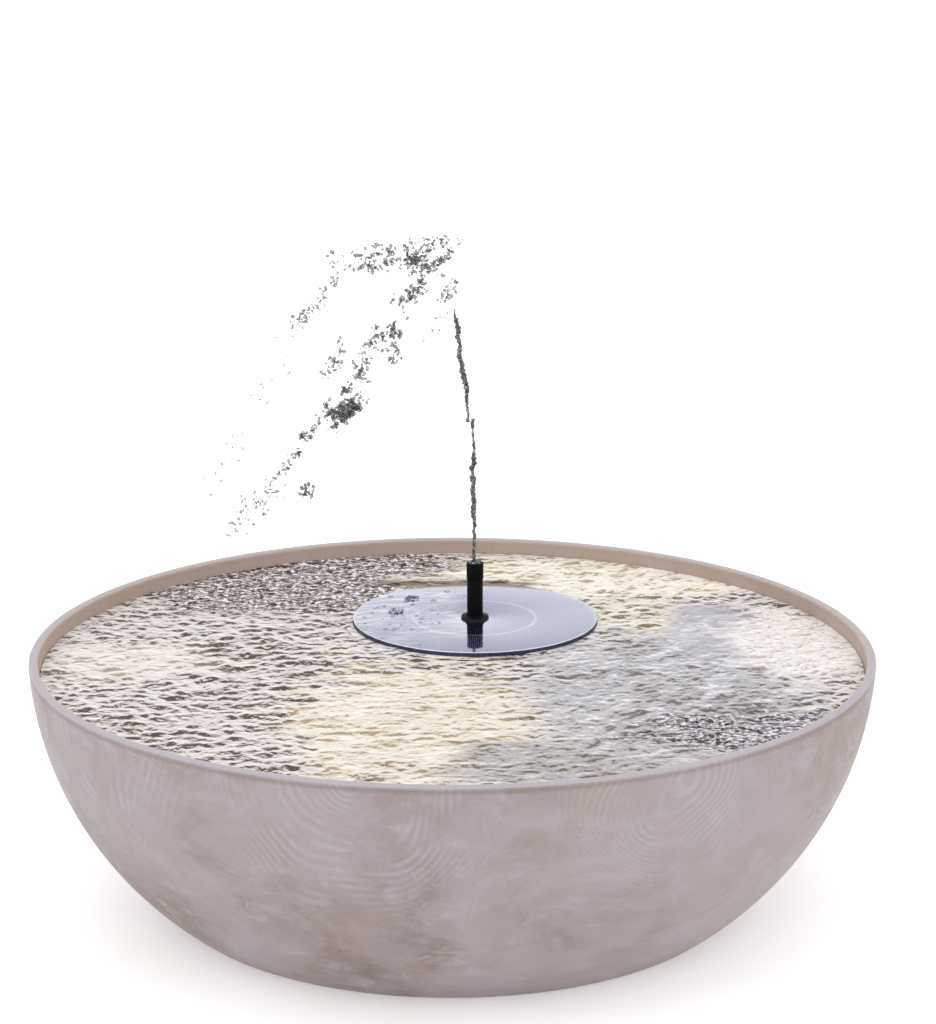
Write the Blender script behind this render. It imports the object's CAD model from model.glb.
"""Bird bath: a marbled bowl of rippling water that carries a floating solar fountain.

Every length is in metres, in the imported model's own frame: +Z is up, and the origin is the middle of the
bowl's foot.
"""

import logging
import math
import random
from dataclasses import dataclass, field
from enum import Enum
from typing import Callable, Iterable, Sequence

import bmesh
import bpy
import numpy as np
from bmesh.types import BMEdge, BMesh, BMFace, BMVert
from mathutils import Matrix, Vector


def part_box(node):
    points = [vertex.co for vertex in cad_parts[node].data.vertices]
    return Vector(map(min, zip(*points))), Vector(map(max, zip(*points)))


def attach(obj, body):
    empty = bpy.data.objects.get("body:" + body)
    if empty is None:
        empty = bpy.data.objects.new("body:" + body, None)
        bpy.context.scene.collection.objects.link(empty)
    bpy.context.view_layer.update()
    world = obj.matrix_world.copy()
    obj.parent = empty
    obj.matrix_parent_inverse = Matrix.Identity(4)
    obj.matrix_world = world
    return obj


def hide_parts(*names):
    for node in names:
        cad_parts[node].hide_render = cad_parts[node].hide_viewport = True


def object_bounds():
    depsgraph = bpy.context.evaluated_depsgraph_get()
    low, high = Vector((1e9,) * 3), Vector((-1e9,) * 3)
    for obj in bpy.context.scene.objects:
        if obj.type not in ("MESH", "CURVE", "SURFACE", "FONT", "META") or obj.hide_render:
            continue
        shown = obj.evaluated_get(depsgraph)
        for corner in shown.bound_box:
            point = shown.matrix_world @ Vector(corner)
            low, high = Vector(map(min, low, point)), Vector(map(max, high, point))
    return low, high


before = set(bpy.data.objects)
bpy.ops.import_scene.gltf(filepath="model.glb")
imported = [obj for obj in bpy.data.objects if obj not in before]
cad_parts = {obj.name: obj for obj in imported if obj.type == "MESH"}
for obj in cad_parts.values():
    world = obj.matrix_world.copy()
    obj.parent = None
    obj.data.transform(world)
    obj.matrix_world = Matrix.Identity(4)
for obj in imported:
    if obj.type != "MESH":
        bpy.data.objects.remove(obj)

CAD_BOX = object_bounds()
LOG = logging.getLogger("bird_bath")
MM = 0.001
FULL_TURN = 2 * math.pi
SEED = 11

Socket = bpy.types.NodeSocket
Node = bpy.types.Node
Material = bpy.types.Material
Piece = bpy.types.Object
Colour = tuple[float, float, float, float]
Value = float | Socket


class Body(Enum):
    """The bodies that pieces ride on."""

    BOWL = "bowl"
    WATER = "water"
    WATERLINE = "waterline"
    FLOAT = "float"
    RISER = "riser"
    NOZZLE = "nozzle"


class Slot(Enum):
    """The record's material slots that new pieces take their finish from."""

    STONE = "bowl_stone"
    WATER = "water"
    PLASTIC = "black_plastic"
    FILM = "clear_film"


def tint(red: int, green: int, blue: int) -> Colour:
    """Turns a colour as an eye sees it, 0 to 255 a channel, into the linear colour that shaders use."""
    channels = (c / 255 for c in (red, green, blue))
    linear = (c / 12.92 if c <= 0.04045 else ((c + 0.055) / 1.055) ** 2.4 for c in channels)
    return (*linear, 1.0)


def tones(*levels: tuple[int, int, int]) -> tuple[Colour, ...]:
    """Turns several colours as an eye sees them into linear ones."""
    return tuple(tint(*level) for level in levels)


# ---------------------------------------------------------------- shader tools


class Graph:
    """A shader node tree being drawn up, with short ways to add and join its nodes."""

    def __init__(self, tree: bpy.types.NodeTree) -> None:
        """Starts from an emptied tree."""
        self.tree = tree
        tree.nodes.clear()

    def add(self, kind: str, settings: dict | None = None, **inputs: object) -> Node:
        """Adds a shader node.

        Args:
            kind: The node's type without its ShaderNode prefix.
            settings: Its own properties, by name.
            **inputs: Its sockets by name, with _ for a space: a value or another node's output.

        Returns:
            The new node.
        """
        node = self.tree.nodes.new("ShaderNode" + kind)
        for name, value in (settings or {}).items():
            setattr(node, name, value)
        for name, value in inputs.items():
            self.feed(node.inputs[name.replace("_", " ")], value)
        return node

    def feed(self, socket: Socket, value: object) -> None:
        """Joins value to the socket if it is an output, or else sets it there."""
        if isinstance(value, Socket):
            self.tree.links.new(value, socket)
        else:
            socket.default_value = value

    def math(self, operation: str, first: Value, second: Value = 0.0, third: Value = 0.0) -> Socket:
        """Works out one arithmetic step and returns its result."""
        node = self.tree.nodes.new("ShaderNodeMath")
        node.operation = operation
        for socket, value in zip(node.inputs, (first, second, third)):
            self.feed(socket, value)
        return node.outputs[0]

    def times(self, first: Value, second: Value) -> Socket:
        """Returns first times second."""
        return self.math("MULTIPLY", first, second)

    def minus(self, first: Value, second: Value) -> Socket:
        """Returns first minus second."""
        return self.math("SUBTRACT", first, second)

    def times_plus(self, first: Value, second: Value, third: Value) -> Socket:
        """Returns first times second, plus third."""
        return self.math("MULTIPLY_ADD", first, second, third)

    def between(self, share: Value, first: Value, second: Value) -> Socket:
        """Returns first, turning to second as share goes from 0 to 1."""
        return self.times_plus(self.minus(second, first), share, first)

    def length(self, vector: Socket) -> Socket:
        """Returns how long the vector is."""
        return self.add("VectorMath", {"operation": "LENGTH"}, Vector=vector).outputs["Value"]

    def vector_math(self, operation: str, first: object, second: object) -> Node:
        """Works out one vector step and returns its node."""
        node = self.tree.nodes.new("ShaderNodeVectorMath")
        node.operation = operation
        self.feed(node.inputs[0], first)
        self.feed(node.inputs[1], second)
        return node

    def mix(self, share: Value, first: object, second: object) -> Socket:
        """Returns the colour first, turning to second as share goes from 0 to 1."""
        node = self.tree.nodes.new("ShaderNodeMix")
        node.data_type = "RGBA"
        for index, value in ((0, share), (6, first), (7, second)):
            self.feed(node.inputs[index], value)
        return node.outputs[2]

    def ramp(self, value: Value, low: Value, high: Value, start: float = 0.0, end: float = 1.0) -> Socket:
        """Returns start, rising smoothly to end as value goes from low to high."""
        node = self.add("MapRange", {"interpolation_type": "SMOOTHSTEP"}, Value=value)
        for name, bound in (("From Min", low), ("From Max", high), ("To Min", start), ("To Max", end)):
            self.feed(node.inputs[name], bound)
        return node.outputs[0]

    def place(self) -> Socket:
        """Returns the place on the piece, in metres."""
        return self.add("TexCoord").outputs["Object"]

    def stretched(self, vector: Socket, scale: Sequence[float], turn: float = 0.0) -> Socket:
        """Returns vector scaled along each axis, with the X axis first turned about Z by turn radians."""
        node = self.add("Mapping", {"vector_type": "TEXTURE"}, Vector=vector)
        node.inputs["Rotation"].default_value = (0, 0, turn)
        node.inputs["Scale"].default_value = [1 / share for share in scale]
        return node.outputs[0]

    def noise(self, vector: Socket, scale: Value, detail: float = 3.0, roughness: float = 0.5,
              distortion: float = 0.0) -> Socket:
        """Returns cloudy noise from 0 to 1 that mostly stays near 0.5."""
        node = self.add("TexNoise", Vector=vector, Scale=scale, Detail=detail, Roughness=roughness,
                        Distortion=distortion)
        return node.outputs[0]

    def group(self, shared: bpy.types.NodeTree, **inputs: object) -> Node:
        """Adds a shared group, with its inputs by name."""
        node = self.tree.nodes.new("ShaderNodeGroup")
        node.node_tree = shared
        for name, value in inputs.items():
            self.feed(node.inputs[name.replace("_", " ")], value)
        return node

    def bump(self, height: Socket, distance: float, strength: float = 1.0) -> Socket:
        """Returns the normal of a surface raised by height, up to distance."""
        return self.add("Bump", Height=height, Distance=distance, Strength=strength).outputs[0]


def shared_group(name: str, inputs: dict[str, object], outputs: Iterable[str],
                 draw: Callable[[Graph, Node], dict[str, Socket]]) -> bpy.types.NodeTree:
    """Makes a node group that several materials use.

    Args:
        name: The group's name.
        inputs: Each input's name and its starting value: a number, or three numbers for a vector.
        outputs: The names of its outputs, which are all values.
        draw: Adds the nodes between, and returns what each output takes.

    Returns:
        The group's tree.
    """
    tree = bpy.data.node_groups.new(name, "ShaderNodeTree")
    graph = Graph(tree)
    for key, start in inputs.items():
        kind = "NodeSocketFloat" if isinstance(start, (int, float)) else "NodeSocketVector"
        socket = tree.interface.new_socket(name=key, in_out="INPUT", socket_type=kind)
        socket.default_value = start
    for key in outputs:
        tree.interface.new_socket(name=key, in_out="OUTPUT", socket_type="NodeSocketFloat")
    entry = tree.nodes.new("NodeGroupInput")
    results = draw(graph, entry)
    exit_node = tree.nodes.new("NodeGroupOutput")
    for key, socket in results.items():
        tree.links.new(socket, exit_node.inputs[key])
    return tree


class SharedEffects:
    """The node groups that several finishes use."""

    def __init__(self) -> None:
        """Builds each group once."""
        self.marbling = shared_group(
            "marbling", {"Vector": (0, 0, 0), "Scale": 8.0, "Warp": 0.08}, ("Cloud", "Veil", "Mottle"),
            self._marbling)
        self.strata = shared_group(
            "strata", {"Vector": (0, 0, 0), "Centre": (0, 0, 0), "Spacing": 0.006, "Reach": 0.1},
            ("Lines", "Near"), self._strata)
        self.patch = shared_group(
            "patch", {"Vector": (0, 0, 0), "Centre X": 0.0, "Centre Y": 0.0, "Reach X": 0.1,
                      "Reach Y": 0.1, "Ragged": 0.5, "Torn": 0.0}, ("Mask",), self._patch)
        self.ripple = shared_group("ripple", {"Vector": (0, 0, 0), "Scale": 200.0}, ("Slope",), self._ripple)
        self.grain = shared_group(
            "moulded_grain", {"Vector": (0, 0, 0), "Scale": 900.0}, ("Height", "Mottle"), self._grain)
        self.wear = shared_group(
            "handling_wear", {"Vector": (0, 0, 0), "Scale": 60.0, "Amount": 0.3}, ("Mask",), self._wear)

    @staticmethod
    def _marbling(graph: Graph, entry: Node) -> dict[str, Socket]:
        """Clouds, thin veils and a fine mottle, all pulled about by one slow warp."""
        vector, scale, warp = (entry.outputs[key] for key in ("Vector", "Scale", "Warp"))
        drift = graph.add("TexNoise", Vector=vector, Scale=graph.times(scale, 0.6), Detail=2.0)
        centred = graph.vector_math("SUBTRACT", drift.outputs[1], (0.5, 0.5, 0.5)).outputs[0]
        pull = graph.tree.nodes.new("ShaderNodeVectorMath")
        pull.operation = "SCALE"
        graph.feed(pull.inputs[0], centred)
        graph.feed(pull.inputs["Scale"], warp)
        warped = graph.vector_math("ADD", vector, pull.outputs[0]).outputs[0]
        cloud = graph.noise(warped, scale, 7.0, 0.58)
        veil = graph.noise(graph.stretched(warped, (1.0, 1.0, 2.2)), graph.times(scale, 2.3),
                           8.0, 0.62, 1.1)
        mottle = graph.noise(vector, graph.times(scale, 16.0), 4.0, 0.65)
        return {"Cloud": graph.ramp(cloud, 0.36, 0.64), "Veil": graph.ramp(veil, 0.4, 0.66),
                "Mottle": mottle}

    @staticmethod
    def _strata(graph: Graph, entry: Node) -> dict[str, Socket]:
        """Thin wavering rings round a centre, as poured layers leave, fading at Reach."""
        keys = ("Vector", "Centre", "Spacing", "Reach")
        vector, centre, spacing, reach = (entry.outputs[key] for key in keys)
        away = graph.vector_math("DISTANCE", vector, centre).outputs["Value"]
        waver = graph.times(graph.noise(vector, 10.0, 1.0, 0.4), 0.1)
        phase = graph.math("DIVIDE", graph.math("ADD", away, waver), spacing)
        wave = graph.math("SINE", graph.times(phase, FULL_TURN))
        lines = graph.ramp(wave, -0.8, 1.0)
        breaks = graph.ramp(graph.noise(vector, 34.0, 4.0), 0.42, 0.6)
        near = graph.ramp(away, reach, graph.times(reach, 0.35))
        return {"Lines": graph.times(graph.times(lines, breaks), near), "Near": near}

    @staticmethod
    def _patch(graph: Graph, entry: Node) -> dict[str, Socket]:
        """An oval patch on the water with a ragged, soft edge."""
        keys = ("Vector", "Centre X", "Centre Y", "Reach X", "Reach Y", "Ragged", "Torn")
        vector, centre_x, centre_y, reach_x, reach_y, ragged, torn = (entry.outputs[key] for key in keys)
        parts = graph.add("SeparateXYZ", Vector=vector)
        across = graph.math("DIVIDE", graph.minus(parts.outputs[0], centre_x), reach_x)
        along = graph.math("DIVIDE", graph.minus(parts.outputs[1], centre_y), reach_y)
        away = graph.math("SQRT", graph.times_plus(across, across,
                                             graph.times(along, along)))
        edge = graph.times_plus(torn, graph.times(ragged, 2.4), away)
        return {"Mask": graph.ramp(edge, 1.18, 0.72)}

    @staticmethod
    def _ripple(graph: Graph, entry: Node) -> dict[str, Socket]:
        """How steeply small waves lean towards the front, from 0 to 1 and mostly near 0.5."""
        vector, scale = entry.outputs["Vector"], entry.outputs["Scale"]
        step = graph.add("CombineXYZ", Y=graph.math("DIVIDE", 0.3, scale)).outputs[0]
        ahead = graph.noise(graph.vector_math("SUBTRACT", vector, step).outputs[0], scale, 2.0, 0.55)
        behind = graph.noise(graph.vector_math("ADD", vector, step).outputs[0], scale, 2.0, 0.55)
        return {"Slope": graph.times_plus(graph.minus(ahead, behind), 2.2, 0.5)}

    @staticmethod
    def _grain(graph: Graph, entry: Node) -> dict[str, Socket]:
        """The fine texture that a mould leaves on plastic, with a soft mottle under it."""
        vector, scale = entry.outputs["Vector"], entry.outputs["Scale"]
        height = graph.noise(vector, scale, 3.0, 0.6)
        mottle = graph.noise(vector, graph.times(scale, 0.09), 4.0, 0.6)
        return {"Height": height, "Mottle": mottle}

    @staticmethod
    def _wear(graph: Graph, entry: Node) -> dict[str, Socket]:
        """Blotches where handling and lime have dulled a surface."""
        vector, scale, amount = (entry.outputs[key] for key in ("Vector", "Scale", "Amount"))
        blotch = graph.noise(vector, scale, 6.0, 0.7, 0.4)
        return {"Mask": graph.ramp(blotch, graph.minus(0.78, graph.times(amount, 0.3)), 0.8)}


EFFECTS = SharedEffects()


class Finish:
    """A procedural finish, drawn as one Principled shader."""

    name: str

    def draw(self, graph: Graph, place: Socket) -> dict[str, object]:
        """Draws the finish and returns what each of its shader's sockets takes."""
        raise NotImplementedError

    def build(self) -> Material:
        """Makes the material and joins its shader to the output."""
        material = bpy.data.materials.new(self.name)
        material.use_nodes = True
        graph = Graph(material.node_tree)
        shader = graph.add("BsdfPrincipled")
        graph.add("OutputMaterial", Surface=shader.outputs[0])
        for socket, value in self.draw(graph, graph.place()).items():
            graph.feed(shader.inputs[socket], value)
        return material


# ---------------------------------------------------------------- finishes


@dataclass(frozen=True)
class Whorl:
    """A place where the poured mix curled, ringed by thin strata."""

    centre: tuple[float, float, float]
    reach: float
    spacing: float = 5.5 * MM


@dataclass(frozen=True)
class MarbledStone(Finish):
    """Cast stone mix in taupe with lavender clouds, tan patches and curled strata."""

    name = "marbled_stone"
    rim_height: float
    taupe: Colour = tint(143, 128, 122)
    umber: Colour = tint(119, 103, 95)
    lavender: Colour = tint(163, 153, 157)
    tan: Colour = tint(152, 132, 114)
    rim_pale: Colour = tint(182, 178, 185)
    inner: Colour = tint(192, 172, 158)
    rim_r: float = 0.265
    whorls: tuple[Whorl, ...] = (
        Whorl((-0.06, -0.26, 0.16), 0.12),
        Whorl((0.13, -0.225, 0.16), 0.1, 5 * MM),
        Whorl((-0.19, -0.16, 0.15), 0.09, 6 * MM),
        Whorl((0.24, 0.06, 0.14), 0.11),
        Whorl((0.1, 0.24, 0.15), 0.12),
        Whorl((-0.14, 0.21, 0.12), 0.11, 7 * MM),
        Whorl((-0.25, 0.02, 0.11), 0.09),
    )

    def draw(self, graph: Graph, place: Socket) -> dict[str, object]:
        """Draws the finish and returns what each of its shader's sockets takes."""
        broad = graph.group(EFFECTS.marbling, Vector=place, Scale=7.0, Warp=0.16)
        fine = graph.group(EFFECTS.marbling, Vector=place, Scale=19.0, Warp=0.07)
        height = graph.add("SeparateXYZ", Vector=place).outputs[2]
        colour = graph.mix(broad.outputs["Cloud"], self.umber, self.taupe)
        colour = graph.mix(graph.times(fine.outputs["Cloud"], 0.5), colour, self.lavender)
        veils = graph.times(graph.times(broad.outputs["Veil"], fine.outputs["Veil"]), 0.9)
        colour = graph.mix(veils, colour, self.lavender)
        ragged = graph.noise(graph.stretched(place, (0.8, 0.8, 1.3)), 6.0, 9.0, 0.62, 0.6)
        colour = graph.mix(graph.ramp(ragged, 0.49, 0.56, 0.0, 0.42), colour, self.lavender)
        tan_place = graph.add("Mapping", Vector=place)
        tan_place.inputs["Location"].default_value = (0.31, 0.12, 0.4)
        tan_cloud = graph.noise(tan_place.outputs[0], 9.0, 5.0, 0.55, 0.5)
        under_rim = graph.ramp(height, self.rim_height - 0.05, self.rim_height - 0.012, 0.35, 1.0)
        tan_share = graph.times(graph.ramp(tan_cloud, 0.5, 0.66), under_rim)
        colour = graph.mix(graph.times(tan_share, 0.75), colour, self.tan)
        ridges = None
        for whorl in self.whorls:
            rings = graph.group(EFFECTS.strata, Vector=place, Centre=whorl.centre, Spacing=whorl.spacing,
                                Reach=whorl.reach)
            colour = graph.mix(graph.times(rings.outputs["Near"], 0.5), colour, self.lavender)
            colour = graph.mix(graph.times(rings.outputs["Lines"], 0.3), colour, self.rim_pale)
            lines = rings.outputs["Lines"]
            ridges = lines if ridges is None else graph.math("MAXIMUM", ridges, lines)
        speckle = graph.ramp(fine.outputs["Mottle"], 0.3, 0.7)
        colour = graph.mix(graph.times(speckle, 0.12), colour, self.rim_pale)
        lip = graph.ramp(height, self.rim_height - 1.6 * MM, self.rim_height - 0.8 * MM)
        colour = graph.mix(graph.times(lip, 0.8), colour, self.rim_pale)
        seam = graph.times(graph.ramp(height, self.rim_height - 6 * MM, self.rim_height - 3.2 * MM),
                          graph.ramp(height, self.rim_height - 1.8 * MM, self.rim_height - 2.8 * MM))
        colour = graph.mix(graph.times(seam, 0.4), colour, self.umber)
        flat = graph.vector_math("MULTIPLY", place, (1, 1, 0)).outputs[0]
        away = graph.length(flat)
        within = graph.times(graph.ramp(away, self.rim_r - 3.5 * MM, self.rim_r - 5 * MM),
                            graph.ramp(height, self.rim_height - 22 * MM, self.rim_height - 16 * MM))
        colour = graph.mix(graph.times(within, 0.65), colour, self.inner)
        relief = graph.times_plus(fine.outputs["Mottle"], 0.5, graph.times(ridges, 0.35))
        return {
            "Base Color": colour,
            "Roughness": graph.ramp(fine.outputs["Mottle"], 0.3, 0.7, 0.38, 0.52),
            "Normal": graph.bump(relief, 0.25 * MM, 0.5),
            "Specular IOR Level": 0.2,
        }


@dataclass(frozen=True)
class WaterZone:
    """A part of the pool with its own tones, from its darkest glint to its brightest glitter.

    Its ripples are fine, or drawn out into streaks, by the shares given.
    """

    centre: tuple[float, float]
    reach: tuple[float, float]
    tones: tuple[Colour, ...]
    fine: float = 0.0
    streaks: float = 0.0
    ragged: float = 0.7


CREAM_TONES = tones((168, 149, 122), (208, 195, 174), (228, 220, 208), (246, 241, 234))
LEFT_TONES = tones((88, 76, 68), (164, 156, 152), (214, 208, 206), (242, 238, 237))


@dataclass(frozen=True)
class RipplingWater(Finish):
    """Water seen at a low angle: bright sky on most ripples, and the bowl's brown depth in the rest."""

    name = "rippling_water"
    open_water: WaterZone = WaterZone((0, 0), (1, 1), LEFT_TONES, 0.15, 0.15)
    depth_dark: Colour = tint(98, 86, 77)
    depth_light: Colour = tint(166, 153, 141)
    slant_from: float = 0.03
    slant: float = 0.5
    zones: tuple[WaterZone, ...] = (
        WaterZone((-0.205, 0.0), (0.05, 0.04),
                  tones((170, 156, 142), (208, 199, 192), (226, 221, 217), (242, 238, 235)), 0.0, 0.6),
        WaterZone((-0.09, 0.19), (0.145, 0.085),
                  tones((56, 48, 44), (92, 83, 77), (150, 140, 139), (244, 236, 240)), 0.85, ragged=0.8),
        WaterZone((-0.02, -0.12), (0.08, 0.12), CREAM_TONES, 0.0, 0.75, 1.1),
        WaterZone((0.09, -0.2), (0.1, 0.055),
                  tones((112, 102, 94), (158, 152, 148), (178, 174, 174), (210, 207, 210)), 0.0, 0.8),
        WaterZone((0.11, 0.2), (0.13, 0.055),
                  tones((176, 158, 130), (220, 209, 190), (238, 232, 221), (252, 248, 242)), 0.0, 0.8),
        WaterZone((0.12, 0.1), (0.05, 0.05),
                  tones((128, 114, 94), (186, 176, 158), (222, 216, 204), (242, 238, 230)), 0.0, 0.4),
        WaterZone((0.135, -0.06), (0.095, 0.125),
                  tones((116, 109, 106), (160, 157, 159), (182, 180, 184), (228, 226, 231)), 0.0, 0.8),
        WaterZone((0.17, 0.06), (0.035, 0.07),
                  tones((166, 164, 172), (176, 174, 180), (188, 185, 192), (222, 220, 226)), 0.0, 0.8),
        WaterZone((0.225, 0.035), (0.05, 0.085),
                  tones((190, 180, 174), (218, 212, 207), (230, 225, 222), (248, 243, 240)), 0.5, 0.4),
        WaterZone((0.185, -0.14), (0.08, 0.04),
                  tones((54, 48, 48), (104, 98, 101), (160, 155, 160), (234, 230, 236)), 0.8, ragged=0.8),
        WaterZone((0.005, 0.178), (0.065, 0.011),
                  tones((66, 52, 40), (92, 76, 62), (128, 112, 96), (186, 174, 160)), 0.2, 0.6, 0.35),
    )

    def draw(self, graph: Graph, place: Socket) -> dict[str, object]:
        """Draws the finish and returns what each of its shader's sockets takes."""
        tones: list[object] = list(self.open_water.tones)
        traits: object = (self.open_water.fine, self.open_water.streaks, 0.0, 1.0)
        torn = graph.minus(graph.noise(graph.stretched(place, (0.55, 1.4, 1.0)), 34.0, 5.0, 0.65), 0.5)
        for zone in self.zones:
            mask = graph.group(
                EFFECTS.patch, Vector=place, Centre_X=zone.centre[0], Centre_Y=zone.centre[1],
                Reach_X=zone.reach[0], Reach_Y=zone.reach[1], Ragged=zone.ragged, Torn=torn).outputs["Mask"]
            tones = [graph.mix(mask, under, over) for under, over in zip(tones, zone.tones)]
            traits = graph.mix(mask, traits, (zone.fine, zone.streaks, 0.0, 1.0))
        fine, streaks = graph.add("SeparateColor", Color=traits).outputs[:2]
        level = self._pattern(graph, place, fine, streaks)
        dark, middle, light, glitter = tones
        colour = graph.mix(graph.ramp(level, 0.17, 0.3), dark, middle)
        colour = graph.mix(graph.ramp(level, 0.28, 0.5), colour, light)
        colour = graph.mix(graph.ramp(level, 0.6, 0.88), colour, glitter)
        depth = graph.mix(graph.ramp(level, 0.25, 0.8), self.depth_dark, self.depth_light)
        facing = graph.add("LayerWeight", Blend=0.5).outputs["Facing"]
        colour = graph.mix(graph.ramp(facing, 0.12, 0.5), depth, colour)
        return {
            "Base Color": colour,
            "Coat Weight": graph.ramp(level, 0.2, 0.6, 0.02, 0.16),
            "Normal": graph.bump(level, 0.15 * MM, 0.3),
            "Roughness": 0.3,
            "Specular IOR Level": 0.05,
            "Coat Roughness": 0.06,
            "Coat IOR": 1.33,
        }

    def _pattern(self, graph: Graph, place: Socket, fine: Socket, streaks: Socket) -> Socket:
        """Works out how light the water is, from the way its waves lean.

        Args:
            graph: The material's graph.
            place: The place on the water.
            fine: The share of the smallest waves there.
            streaks: The share of waves that are drawn out into streaks.

        Returns:
            About 0 in the darkest glints and 1 in the brightest glitter.
        """
        towards = graph.add("Attribute", {"attribute_name": "lean"}).outputs["Fac"]
        broad = graph.minus(1.0, towards)
        small, tiny = (
            graph.group(EFFECTS.ripple, Scale=scale, Vector=graph.stretched(place, (wide, 1, 1))).outputs[0]
            for wide, scale in ((0.85, 210.0), (0.7, 430.0)))
        spots = graph.noise(graph.stretched(place, (1.0, 0.36, 1.0)), 330.0, 3.0, 0.62, 0.4)
        sparks = graph.ramp(spots, 0.24, 0.76)
        across = graph.add("SeparateXYZ", Vector=place).outputs[0]
        level_thread = graph.noise(graph.stretched(place, (0.34, 1.5, 1.0)), 120.0, 5.0, 0.62, 0.7)
        slanted = graph.stretched(place, (0.45, 1.0, 1.0), self.slant)
        slant_thread = graph.noise(slanted, 110.0, 5.0, 0.62, 0.7)
        side = graph.ramp(across, self.slant_from, self.slant_from + 0.08)
        thread = graph.between(side, level_thread, slant_thread)
        thread = graph.ramp(thread, 0.26, 0.74)
        lean = graph.between(fine, broad, sparks)
        drawn = graph.between(streaks, lean, thread)
        ruffled = graph.times_plus(graph.minus(small, 0.5), 0.5, drawn)
        sparkle = graph.times_plus(streaks, -0.3, graph.times_plus(fine, 0.5, 0.42))
        return graph.times_plus(graph.minus(tiny, 0.5), sparkle, ruffled)


@dataclass(frozen=True)
class WaterBead(Finish):
    """Flying or standing water: clear in the middle and grey at the edge, where light is bent away."""

    name: str
    edge: Colour = tint(78, 80, 84)
    pale: Colour = tint(172, 174, 178)
    core: float = 0.42
    rim: float = 0.97

    def draw(self, graph: Graph, place: Socket) -> dict[str, object]:
        """Draws the finish and returns what each of its shader's sockets takes."""
        facing = graph.add("LayerWeight", Blend=0.5).outputs["Facing"]
        swirl = graph.noise(place, 420.0, 3.0, 0.6)
        colour = graph.mix(graph.ramp(swirl, 0.46, 0.66), self.edge, self.pale)
        return {
            "Base Color": colour,
            "Alpha": graph.ramp(facing, 0.15, 0.7, self.core, self.rim),
            "Roughness": 0.1,
            "IOR": 1.33,
            "Specular IOR Level": 0.4,
        }


@dataclass(frozen=True)
class GlossyFilm(Finish):
    """The clear film over the cells: it mirrors the sky at a low angle and shows the cells from above."""

    name = "glossy_film"
    centre: Vector
    sky: Colour = tint(222, 225, 245)
    far_sky: Colour = tint(190, 194, 218)
    reach: float = 0.08
    sheen: float = 1.15

    def draw(self, graph: Graph, place: Socket) -> dict[str, object]:
        """Draws the finish and returns what each of its shader's sockets takes."""
        facing = graph.add("LayerWeight", Blend=0.5).outputs["Facing"]
        streak = graph.noise(graph.stretched(place, (0.5, 1.9, 1.0), 0.12), 95.0, 5.0, 0.62, 0.9)
        wet = graph.group(EFFECTS.patch, Vector=place, Centre_X=self.centre.x - 0.7 * self.reach,
                          Centre_Y=self.centre.y, Reach_X=0.75 * self.reach, Reach_Y=self.reach, Ragged=0.6,
                          Torn=graph.minus(graph.noise(place, 26.0), 0.5))
        ripple = graph.times(graph.ramp(streak, 0.42, 0.66), wet.outputs["Mask"])
        cloud = graph.noise(graph.stretched(place, (0.5, 1.6, 1.0)), 24.0)
        haze = graph.times_plus(ripple, 0.16, graph.times(cloud, 0.1))
        mirror = graph.times_plus(graph.math("POWER", facing, 2.0), self.sheen, haze)
        from_centre = graph.vector_math("SUBTRACT", place, tuple(self.centre)).outputs[0]
        spread = graph.vector_math("MULTIPLY", from_centre, (1, 1, 0))
        away = graph.length(spread.outputs[0])
        edge = graph.ramp(away, self.reach - 0.9 * MM, self.reach - 0.3 * MM, 0.0, 0.85)
        bright = graph.math("MAXIMUM", graph.times(ripple, 0.8), edge)
        depth = graph.add("SeparateXYZ", Vector=spread.outputs[0]).outputs[1]
        far = graph.ramp(depth, -0.3 * self.reach, 0.8 * self.reach, 0.0, 0.7)
        sky = graph.mix(far, self.sky, self.far_sky)
        return {
            "Alpha": graph.math("MINIMUM", graph.math("MAXIMUM", mirror, edge), 1.0),
            "Base Color": graph.mix(bright, sky, tint(242, 242, 250)),
            "Normal": graph.bump(streak, 0.08 * MM, 0.3),
            "Metallic": 1.0,
            "Roughness": 0.07,
        }


@dataclass(frozen=True)
class SolarCell(Finish):
    """Navy silicon under thin printed finger lines that run along Y."""

    name: str
    fingers: bool
    navy: Colour = tint(46, 55, 94)
    spacing: float = 1.25 * MM

    def draw(self, graph: Graph, place: Socket) -> dict[str, object]:
        """Draws the finish and returns what each of its shader's sockets takes."""
        crystal = graph.noise(place, 340.0, 2.0)
        colour = graph.mix(graph.ramp(crystal, 0.35, 0.65), self.navy, tint(58, 68, 112))
        if self.fingers:
            across = graph.add("SeparateXYZ", Vector=place).outputs[0]
            wave = graph.math("SINE", graph.times(across, FULL_TURN / self.spacing))
            colour = graph.mix(graph.ramp(wave, 0.1, 0.8), colour, tint(158, 164, 196))
        return {
            "Base Color": colour,
            "Roughness": 0.25,
            "Metallic": 0.3,
        }


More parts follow.
